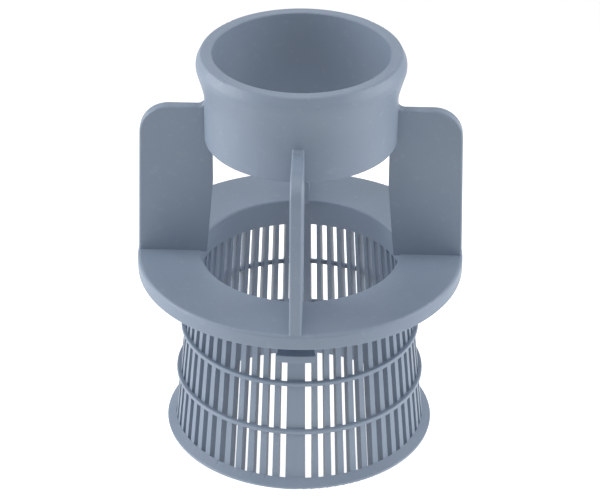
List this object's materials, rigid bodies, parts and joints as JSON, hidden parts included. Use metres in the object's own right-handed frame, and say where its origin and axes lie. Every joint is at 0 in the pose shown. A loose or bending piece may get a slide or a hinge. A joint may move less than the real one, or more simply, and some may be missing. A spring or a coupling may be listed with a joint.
{
  "type": "inlet filter",
  "caption": "One-piece moulded inlet filter: a beaded tube collar on flat wings above a round flange, with a slotted conical basket below.",
  "frame": {"origin": "on the filter's axis, in the plane of the base rim that it stands on", "axes": "+Z along the axis from the base towards the collar; the wings point along +X, -X, +Y and -Y, and the lug under the flange is at -Y, the front"},
  "size_m": [0.09, 0.09, 0.116],
  "materials": {
    "plastic": "satin, fine moulded texture"
  },
  "bodies": {
    "root": {"filter_body": "plastic"}
  },
  "joints": []
}
